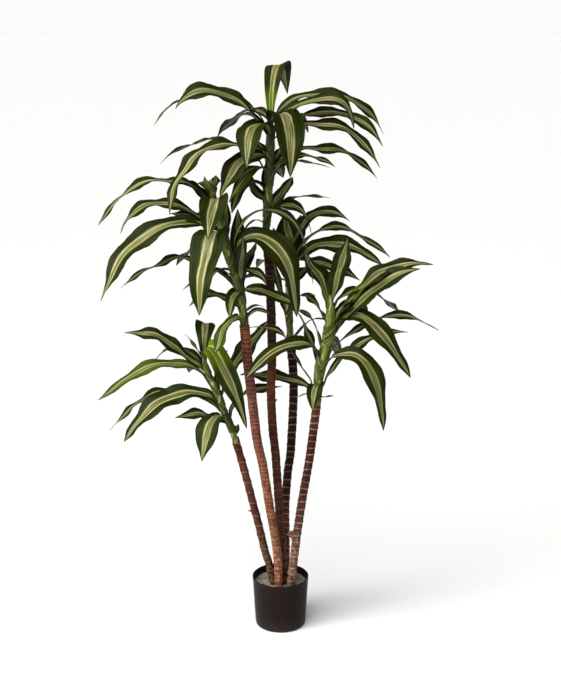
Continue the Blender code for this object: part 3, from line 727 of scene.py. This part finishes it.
class DRACAENA_OT_add_canes(bpy.types.Operator):
    """Adds the five bare canes with their leaf-scar rings"""

    bl_idname = "dracaena.add_canes"
    bl_label = "Add canes"
    bl_options = {"UNDO"}

    def execute(self, context):
        sizes = context.scene.dracaena_canes
        for key, (foot_radius, top_radius, points) in CANES.items():
            line, top = smooth_points(points), points[-1][2]
            cane = tube("cane_bark_" + key, CANE_SIDES, (top - CANE_FOOT) / CANE_ROW)
            rings = ring_heights(key, FILL_TOP + 8, top)
            # Two marks: the scar's pale line, and the painted shade just under each ring's step.
            for mark in ("scar", "painted_ring_shade"):
                cane.data.attributes.new(mark, "FLOAT", "POINT")
            scars, ring_shade_marks = (cane.data.attributes[mark].data for mark in ("scar", "painted_ring_shade"))
            for vertex, scar, painted_ring_shade in zip(cane.data.vertices, scars, ring_shade_marks):
                height = CANE_FOOT + vertex.co.z * (top - CANE_FOOT)
                x, y = centre_at(line, height)
                angle = math.atan2(vertex.co.y, vertex.co.x)
                relief, scar.value, painted_ring_shade.value = ring_relief(key, rings, height, angle)
                share = max(0, (height - FILL_TOP) / (top - FILL_TOP))
                girth = sizes.girth * (foot_radius + (top_radius - foot_radius) * share)
                relief += knot_relief(key, girth, height, angle)
                spot = Vector((math.cos(angle), math.sin(angle), height / 28))
                uneven = noise.fractal(spot * 1.3 + Vector((ord(key), 0, 0)), 0.8, 2, 3)
                knobs = noise.fractal(spot * 3 + Vector((0, ord(key), 0)), 0.8, 2, 3)
                rough = 0.45 * uneven + 0.9 * knobs * (1 - ease((height - 160) / 120))
                radius = (girth + relief + rough) * vertex.co.xy.length
                vertex.co = Vector((
                    x + radius * math.cos(angle), y + radius * math.sin(angle), height)) * MM
            skin = bark(key, sizes.scar, sizes.shade)
            finish(cane, [skin], "cane_" + key, 60)
            for i, stub in enumerate(stub for stub in STUBS if stub[0] == key):
                wood = add_stub(f"bud_stub_{key}_{i}", line, foot_radius, stub)
                finish(wood, [dry_bud()], "cane_" + key, 60)
        return {"FINISHED"}


# Stems and leaves


def stem_line(key):
    return smooth_points([(x, y, z + GAP) for x, y, z in STEMS[key]])


def stem_radius(key, share):
    """A stem's radius from its tip, share 0, over its thickest middle to its foot, share 1."""
    girth = STEM_FOOT + (STEM_GIRTH[key] - STEM_FOOT) * min(1, 2 - 2 * share)
    return STEM_TIP + (girth - STEM_TIP) * min(1, 4 * share)


def midline(root, leaf):
    """The four points of the cubic curve that a leaf's middle follows."""
    _, side, front, rise_to, rise, fall, arch, _, _, swing = leaf
    across = Vector((side, -front, 0))
    away = across.normalized()
    tip = root + across + UP * rise_to
    reach = arch / 100 * (tip - root).length
    rise, fall, swing = math.radians(rise), math.radians(fall), math.radians(swing)
    leave, arrive = Matrix.Rotation(swing, 3, "Z") @ away, Matrix.Rotation(-swing, 3, "Z") @ away
    return (
        root,
        root + reach * (leave * math.cos(rise) + UP * math.sin(rise)),
        tip - reach * (arrive * math.cos(fall) - UP * math.sin(fall)),
        tip,
    )


def on_curve(knots, t):
    a, b, c, d = knots
    s = 1 - t
    place = s ** 3 * a + 3 * s * s * t * b + 3 * s * t * t * c + t ** 3 * d
    heading = s * s * (b - a) + 2 * s * t * (c - b) + t * t * (d - c)
    return place, heading.normalized()


def blade_width(t, leaf):
    """A narrow stalk, a fine tip and the widest place past half way, or before it on a leaf
    that folds over towards the viewer."""
    _, side, front, _, _, _, _, width, _, _ = leaf
    folded = max(0, front) / math.hypot(side, front)
    swell = math.sin(math.pi * t ** (1.45 - 0.6 * folded)) ** 0.85 if 0 < t < 1 else 0
    return max(TIP_WIDTH, width * (STALK * (1 - t) ** 2 + 0.97 * swell))


def blade_point(knots, leaf, t, edge, phase, sizes):
    """A point of the blade: t from root to tip, edge from -1 to 1 across it."""
    _, side, front, _, _, _, _, _, roll, _ = leaf
    place, heading = on_curve(knots, t)
    across = Vector((front, side, 0)).normalized()
    face = heading.cross(across)
    turn = math.radians(roll) * (-1 if side > 0 else 1) + 0.09 * math.sin(5 * t + phase)
    across, face = (
        across * math.cos(turn) - face * math.sin(turn),
        face * math.cos(turn) + across * math.sin(turn),
    )
    half = blade_width(t, leaf) / 2
    run = t * (knots[3] - knots[0]).length * 2 * math.pi
    bulk = min(1, half / 15)
    wave_length = sizes.wave_length / MM * (0.8 + 0.07 * phase)
    wave = sizes.wave / MM * bulk * math.sin(run / wave_length + phase + 1.3 * edge)
    wave += sizes.ripple / MM * bulk * edge * edge * math.sin(run / 27 + 3 * phase + 2 * edge)
    fold = math.sqrt(edge * edge + 0.02) - 0.14
    lift = half * (sizes.keel + 0.5 * (1 - t) ** 4) * fold + wave * abs(edge)
    lift -= 0.06 * half * edge * edge
    lift += SWAY * math.sin(run / SWAY_LENGTH + 2 * phase) * math.sin(math.pi * t)
    return place + across * half * edge + face * lift


def sheath_point(key, line, root, away, share, edge):
    """A point of the leaf's foot, which wraps the stem: share from its hem up to the blade."""
    height = root.z - SHEATH_LENGTH * (1 - share)
    wrap = edge * math.radians(150 - 95 * share)
    turn = math.atan2(away.y, away.x) + wrap
    down = (line[-1][2] - height) / (line[-1][2] - line[0][2])
    radius = stem_radius(key, min(1, down)) + 1.2 + 0.6 * share
    x, y = centre_at(line, height)
    return Vector((x + radius * math.cos(turn), y + radius * math.sin(turn),
                   height + 5 * edge * edge * (1 - share)))


def leaf_point(key, line, knots, leaf, t, edge, phase, sizes):
    """The foot wraps the stem over the first rows and then opens into the blade."""
    away = Vector((leaf[1], -leaf[2], 0)).normalized()
    if t <= SHEATH_SHARE:
        return sheath_point(key, line, knots[0], away, t / SHEATH_SHARE, edge)
    along = (t - SHEATH_SHARE) / (1 - SHEATH_SHARE)
    place = blade_point(knots, leaf, along, edge, phase, sizes)
    if along < SHEATH_FADE:
        opening = sheath_point(key, line, knots[0], away, 1, edge)
        shift = opening - blade_point(knots, leaf, 0, edge, phase, sizes)
        place += shift * (1 - ease(along / SHEATH_FADE))
    return place


def back_leaves(key, stem):
    """Leaves on the side that faces away from the viewer, spread evenly by rule."""
    draw = random.Random("back" + key)
    height = stem[-1][2] - stem[0][2]
    leaves = []
    for i in range(BACK_LEAVES):
        first, last = BACK_BEARINGS[key]
        bearing = math.radians(first + (last - first) * (i + draw.uniform(0.2, 0.8)) / BACK_LEAVES)
        reach = draw.uniform(150, 210)
        leaves.append((
            height * draw.uniform(0.45, 0.9), reach * math.cos(bearing), -reach * math.sin(bearing),
            draw.uniform(-60, 60), draw.uniform(45, 60), draw.uniform(30, 60), 47,
            draw.uniform(36, 52), 0, draw.uniform(-20, 20),
        ))
    return leaves


def blank_blade():
    """A flat blade, root at the bottom, with its own UV map; every leaf is a copy of it."""
    deselect()
    bpy.ops.mesh.primitive_grid_add(
        x_subdivisions=BLADE_COLUMNS, y_subdivisions=BLADE_ROWS, size=2)
    blank = bpy.context.object
    blank.name = "blade_blank"
    return blank


def bent_blade(blank, name, key, line, leaf, phase, young, sizes):
    """A copy of the blank bent into one leaf, with the marks that its colours need."""
    mesh = blank.data.copy()
    blade = bpy.data.objects.new(name, mesh)
    bpy.context.scene.collection.objects.link(blade)
    foot, top = line[0][2], line[-1][2]
    height = min(foot + leaf[0], top - 6)
    knots = midline(Vector((*centre_at(line, height), height)), leaf)
    draw = random.Random(name)
    tone, weak = draw.random(), draw.uniform(0.2, 0.9)
    left, right = (1, weak) if draw.random() < 0.5 else (weak, 1)
    kinds = ("tone", "young", "stripe", "pale_base", "dry", "light")
    for mark in kinds:
        mesh.attributes.new(mark, "FLOAT", "POINT")
    marks = {mark: mesh.attributes[mark].data for mark in kinds}
    for i, vertex in enumerate(mesh.vertices):
        edge, t = -vertex.co.x, (vertex.co.y + 1) / 2
        marks["tone"][i].value = tone
        marks["stripe"][i].value = left + (right - left) * (edge + 1) / 2
        strength, first, last = young
        marks["young"][i].value = strength * ease((t - first + 0.2) / 0.2) * ease((last - t) / 0.15)
        marks["pale_base"][i].value = 1 - ease(t / 0.3)
        marks["light"][i].value = STEM_LIGHT[key]
        marks["dry"][i].value = ease((t - 0.965) / 0.03)
        vertex.co = leaf_point(key, line, knots, leaf, t, edge, phase, sizes) * MM
    return blade


def leaf_skin(name, margin, centre, streak, stripe, young):
    """Waxy dracaena leaf, as grown: satin, dark bands along both edges, an olive middle full of
    fine pale streaks and an uneven cream stripe on each side of it; young leaves are bright
    yellow-green, and the dry tip is brown."""
    material, tree, shader = new_material(name)
    uv = add(tree, "SeparateXYZ", {0: add(tree, "TexCoord", {}).outputs["UV"]})
    marks = {mark: add(tree, "Attribute", {}, attribute_name=mark).outputs["Fac"]
             for mark in ("tone", "young", "stripe", "pale_base", "dry", "light")}
    # A blade is about 50 mm wide and 300 mm long: veins 2 mm apart and streaks 60 mm long,
    # coarser than real veins, which are too fine to show.
    seed = add(tree, "Math", {0: marks["tone"], 1: 91.0}, operation="MULTIPLY").outputs[0]
    noises = {}
    for part, lanes, runs in (("veins", 26.0, 3.0), ("streaks", 11.0, 2.5), ("drift", 1.0, 6.0)):
        across = add(tree, "Math", {0: uv.outputs["X"], 1: lanes}, operation="MULTIPLY")
        along = add(tree, "Math", {0: uv.outputs["Y"], 1: runs}, operation="MULTIPLY")
        spot = add(tree, "CombineXYZ", {
            "X": across.outputs[0], "Y": along.outputs[0], "Z": seed}).outputs[0]
        noises[part] = add(tree, "TexNoise", {
            "Vector": spot, "Scale": 1.0, "Detail": 2}).outputs["Fac"]
    # Distance from the midrib, 0 to 1, let wander a little along the blade.
    middle = add(tree, "Math", {0: uv.outputs["X"], 1: 0.5}, operation="SUBTRACT").outputs[0]
    away = add(tree, "Math", {0: middle}, operation="ABSOLUTE").outputs[0]
    wander = add(tree, "MapRange", {0: noises["drift"], 3: -0.13, 4: 0.13}).outputs[0]
    band = add(tree, "Math", {0: away, 1: 2.0, 2: wander}, operation="MULTIPLY_ADD").outputs[0]
    fray = add(tree, "MapRange", {0: noises["veins"], 3: -0.08, 4: 0.08}).outputs[0]
    frayed = add(tree, "Math", {0: band, 1: fray}, operation="ADD").outputs[0]
    pulled = add(tree, "MapRange", {0: marks["pale_base"], 3: 1.0, 4: 0.55}).outputs[0]
    place = add(tree, "Math", {0: frayed, 1: pulled}, operation="MULTIPLY").outputs[0]
    edge_band = add(tree, "ValToRGB", {"Fac": place}, stops=((0.24, 0), (0.42, 1))).outputs[0]
    cream_band = add(tree, "ValToRGB", {"Fac": place}, stops=(
        (0.2, 0), (0.25, 1), (0.28, 1), (0.34, 0))).outputs[0]
    fine = add(tree, "ValToRGB", {"Fac": noises["streaks"]}, stops=((0.38, 0), (0.62, 1)))
    light = add(tree, "ValToRGB", {"Fac": noises["veins"]}, stops=((0.52, 0), (0.62, 1)))
    skin = {}
    for part, colour, low, high in (
            ("margin", margin, 0.7, 1.3), ("centre", centre, 0.6, 1.35), ("young", young, 0.75, 1.3)):
        skin[part] = add(tree, "Mix", {
            0: fine.outputs[0], 6: (*(c * low for c in colour), 1),
            7: (*(min(1, c * high) for c in colour), 1)}, data_type="RGBA").outputs[2]
    streaky = add(tree, "Math", {0: light.outputs[0], 1: 0.7}, operation="MULTIPLY").outputs[0]
    inner = add(tree, "Mix", {0: streaky, 6: skin["centre"], 7: (*streak, 1)},
                data_type="RGBA").outputs[2]
    old = add(tree, "Mix", {0: edge_band, 6: inner, 7: skin["margin"]},
              data_type="RGBA").outputs[2]
    grown_up = add(tree, "Mix", {0: marks["young"], 6: old, 7: skin["young"]},
                   data_type="RGBA").outputs[2]
    strong = add(tree, "MapRange", {0: noises["streaks"], 1: 0.3, 2: 0.55, 3: 0.35, 4: 1.0})
    cream = add(tree, "Math", {0: cream_band, 1: strong.outputs[0]}, operation="MULTIPLY")
    share = add(tree, "Math", {0: cream.outputs[0], 1: marks["stripe"]}, operation="MULTIPLY")
    striped = add(tree, "Mix", {0: share.outputs[0], 6: grown_up, 7: (*stripe, 1)},
                  data_type="RGBA").outputs[2]
    # The foot of a leaf is yellow-green like the stem that it wraps.
    foot = add(tree, "MapRange", {0: marks["pale_base"], 1: 0.35, 2: 0.95, 3: 0.0, 4: 0.7}).outputs[0]
    bright = add(tree, "Math", {0: marks["light"], 1: fine.outputs[0]}, operation="MULTIPLY")
    sheath = add(tree, "ValToRGB", {"Fac": bright.outputs[0]}, stops=(
        (0.0, linear("2C3016")), (0.5, linear("57602A")), (1.0, linear("7C8838")))).outputs[0]
    footed = add(tree, "Mix", {0: foot, 6: striped, 7: sheath}, data_type="RGBA").outputs[2]
    level = add(tree, "MapRange", {0: noises["drift"], 3: 0.7, 4: 1.3}).outputs[0]
    shaded = add(tree, "Mix", {0: 1.0, 6: footed, 7: level}, data_type="RGBA",
                 blend_type="MULTIPLY").outputs[2]
    base = add(tree, "Mix", {0: marks["dry"], 6: shaded, 7: (*linear("3A2C1C"), 1)},
               data_type="RGBA").outputs[2]
    gloss = add(tree, "MapRange", {0: noises["streaks"], 3: 0.34, 4: 0.56}).outputs[0]
    bump = add(tree, "Bump", {"Height": noises["veins"], "Strength": 0.4, "Distance": 0.0004})
    tree.links.new(base, shader.inputs["Base Color"])
    tree.links.new(gloss, shader.inputs["Roughness"])
    tree.links.new(bump.outputs[0], shader.inputs["Normal"])
    shader.inputs["Specular IOR Level"].default_value = 0.06
    return material


def stem_skin(key, colour):
    """Green stem, as grown: satin, olive, with pale lines where leaf feet end."""
    material, tree, shader = new_material("dracaena_green_stem_" + key)
    place = add(tree, "TexCoord", {}).outputs["Object"]
    upright = add(tree, "Mapping", {"Vector": place, "Scale": (1, 1, 0.1)}).outputs[0]
    fibres = add(tree, "TexNoise", {"Vector": upright, "Scale": 190, "Detail": 3}).outputs["Fac"]
    # Leaf feet wrap the stem: dark margins, olive middles and thin cream stripes, upright.
    feet = add(tree, "ValToRGB", {"Fac": fibres}, stops=(
        (0.34, tuple(c * 0.3 for c in colour)), (0.47, tuple(colour)),
        (0.56, tuple(c * 1.1 for c in colour)), (0.64, linear("A89E74"))))
    rough = add(tree, "MapRange", {0: fibres, 3: 0.4, 4: 0.55}).outputs[0]
    bump = add(tree, "Bump", {"Height": fibres, "Strength": 0.4, "Distance": 0.0006}).outputs[0]
    tree.links.new(feet.outputs[0], shader.inputs["Base Color"])
    tree.links.new(rough, shader.inputs["Roughness"])
    tree.links.new(bump, shader.inputs["Normal"])
    shader.inputs["Specular IOR Level"].default_value = 0.1
    return material


class DRACAENA_OT_add_stems(bpy.types.Operator):
    """Adds the green stem at the top of each cane"""

    bl_idname = "dracaena.add_stems"
    bl_label = "Add stems"
    bl_options = {"UNDO"}

    def execute(self, context):
        green = context.scene.dracaena_leaves.stem
        for key in STEMS:
            skin = stem_skin(key, [c * (0.35 + 0.65 * STEM_LIGHT[key]) for c in green])
            line = stem_line(key)
            foot, top = line[0][2], line[-1][2]
            stem = tube("stem_" + key, STEM_SIDES, (top - foot) / STEM_ROW)
            for vertex in stem.data.vertices:
                height = foot + vertex.co.z * (top - foot)
                x, y = centre_at(line, height)
                angle = math.atan2(vertex.co.y, vertex.co.x)
                radius = stem_radius(key, 1 - vertex.co.z) * vertex.co.xy.length
                vertex.co = Vector((
                    x + radius * math.cos(angle), y + radius * math.sin(angle), height)) * MM
            finish(stem, [skin], "head_" + key, 60)
        return {"FINISHED"}


class DRACAENA_OT_add_foliage(bpy.types.Operator):
    """Adds the leaves of all five heads"""

    bl_idname = "dracaena.add_foliage"
    bl_label = "Add foliage"
    bl_options = {"UNDO"}

    def execute(self, context):
        sizes = context.scene.dracaena_leaves
        colours = [sizes.margin, sizes.centre, sizes.streak, sizes.stripe, sizes.young]
        top_skin = leaf_skin("dracaena_leaf_upper", *colours)
        # Painted shade: the underside is the same leaf colour darkened to 0.55, so undersides read dark
        # however the light falls.
        shade_painted_colours = [tuple(0.55 * c + 0.008 for c in colour) for colour in colours]
        shaded_under_skin = leaf_skin("dracaena_leaf_underside_painted_shade", *shade_painted_colours)
        blank = blank_blade()
        for key in LEAVES:
            line = stem_line(key)
            draw = random.Random("leaf" + key)
            blades = [
                bent_blade(blank, f"foliage_{key}_{i}", key, line, leaf,
                           draw.uniform(0, 2 * math.pi), YOUNG[key].get(i, (0, 0, 0)), sizes)
                for i, leaf in enumerate(LEAVES[key] + back_leaves(key, line))
            ]
            activate(*blades)
            bpy.ops.object.join()
            foliage = bpy.context.object
            foliage.name = foliage.data.name = "foliage_" + key
            solidify = foliage.modifiers.new("thickness", "SOLIDIFY")
            solidify.thickness = sizes.thickness
            solidify.offset = 0
            solidify.material_offset = 1
            foliage.data.materials.append(top_skin)
            foliage.data.materials.append(shaded_under_skin)
            bpy.ops.object.modifier_apply(modifier="thickness")
            finish(foliage, [], "head_" + key, 60)
        bpy.data.objects.remove(blank)
        return {"FINISHED"}


# Stage


def studio_paint(colour):
    """Matt floor paint, rolled: an even pale sheet with a barely seen mottle."""
    material, tree, shader = new_material("matt_floor_paint")
    place = add(tree, "TexCoord", {}).outputs["Object"]
    mottle = add(tree, "TexNoise", {"Vector": place, "Scale": 3.0, "Detail": 2}).outputs["Fac"]
    base = add(tree, "Mix", {0: mottle, 6: (*(c * 0.98 for c in colour), 1), 7: (*colour, 1)},
               data_type="RGBA").outputs[2]
    tree.links.new(base, shader.inputs["Base Color"])
    shader.inputs["Roughness"].default_value = 0.9
    return material


def add_light(name, kind, place, power, **fields):
    """A light that shines at the middle of the plant."""
    light = bpy.data.lights.new(name, kind)
    light.energy = power
    for field, value in fields.items():
        setattr(light, field, value)
    lamp = bpy.data.objects.new(name, light)
    lamp.location = place
    lamp.rotation_euler = (PLANT_MIDDLE - Vector(place)).to_track_quat("-Z", "Y").to_euler()
    bpy.context.scene.collection.objects.link(lamp)


class DRACAENA_OT_add_stage(bpy.types.Operator):
    """Adds the camera, the pale floor and the soft studio lights"""

    bl_idname = "dracaena.add_stage"
    bl_label = "Add stage"
    bl_options = {"UNDO"}

    def execute(self, context):
        stage, scene = context.scene.dracaena_stage, context.scene
        deselect()
        bpy.ops.object.camera_add(
            location=CAMERA_PLACE, rotation=(math.radians(90 - CAMERA_PITCH), 0, 0))
        camera = context.object
        camera.name = "studio_camera"
        camera.data.lens = stage.lens
        camera.data.clip_end = 200
        scene.camera = camera
        deselect()
        bpy.ops.mesh.primitive_circle_add(vertices=128, radius=300, fill_type="NGON")
        floor = context.object
        floor.name = "studio_floor"
        floor.data.materials.append(studio_paint(stage.floor))
        add_light("overhead_light", "SUN", (-1.2, -1.6, 3.2), stage.sun, angle=math.radians(70))
        add_light("side_light", "AREA", (-2.4, -1.4, 1.6), stage.side_power, shape="DISK", size=1.4)
        world = bpy.data.worlds.new("studio_room")
        world.use_nodes = True
        tree = world.node_tree
        way = add(tree, "TexCoord", {}).outputs["Generated"]
        height = add(tree, "SeparateXYZ", {"Vector": way}).outputs["Z"]
        glow = add(tree, "MapRange", {
            0: height, 1: 0.06, 2: 0.25, 3: stage.backdrop, 4: stage.room}).outputs[0]
        tree.links.new(glow, tree.nodes["Background"].inputs["Strength"])
        tree.nodes["Background"].inputs["Color"].default_value = (1, 1, 1, 1)
        scene.world = world
        scene.view_settings.view_transform = "Standard"
        return {"FINISHED"}


class DRACAENA_PT_panel(bpy.types.Panel):
    """Lists the pieces of the plant in the order they are added"""

    bl_idname = "DRACAENA_PT_panel"
    bl_label = "Potted Dracaena"
    bl_space_type = "VIEW_3D"
    bl_region_type = "UI"
    bl_category = "Dracaena"

    def draw(self, context):
        for group in (
            (context.scene.dracaena_stage, DRACAENA_OT_add_stage),
            (context.scene.dracaena_pot, DRACAENA_OT_add_pot, DRACAENA_OT_add_fill),
            (context.scene.dracaena_canes, DRACAENA_OT_add_canes),
            (context.scene.dracaena_leaves, DRACAENA_OT_add_stems, DRACAENA_OT_add_foliage),
        ):
            box = self.layout.box()
            for name in group[0].bl_rna.properties.keys():
                if name not in ("rna_type", "name"):
                    box.prop(group[0], name)
            for operator in group[1:]:
                box.operator(operator.bl_idname)


SETTINGS = {
    "dracaena_stage": DracaenaStage,
    "dracaena_pot": DracaenaPot,
    "dracaena_canes": DracaenaCanes,
    "dracaena_leaves": DracaenaLeaves,
}
CLASSES = (
    *SETTINGS.values(),
    DRACAENA_OT_add_stage,
    DRACAENA_OT_add_pot,
    DRACAENA_OT_add_fill,
    DRACAENA_OT_add_canes,
    DRACAENA_OT_add_stems,
    DRACAENA_OT_add_foliage,
    DRACAENA_PT_panel,
)


def register():
    for kind in CLASSES:
        bpy.utils.register_class(kind)
    for name, kind in SETTINGS.items():
        setattr(bpy.types.Scene, name, bpy.props.PointerProperty(type=kind))


def unregister():
    for name in SETTINGS:
        delattr(bpy.types.Scene, name)
    for kind in reversed(CLASSES):
        bpy.utils.unregister_class(kind)


def main():
    register()
    bpy.ops.dracaena.add_stage()
    bpy.ops.dracaena.add_pot()
    bpy.ops.dracaena.add_fill()
    bpy.ops.dracaena.add_canes()
    bpy.ops.dracaena.add_stems()
    bpy.ops.dracaena.add_foliage()


if __name__ == "__main__":
    main()
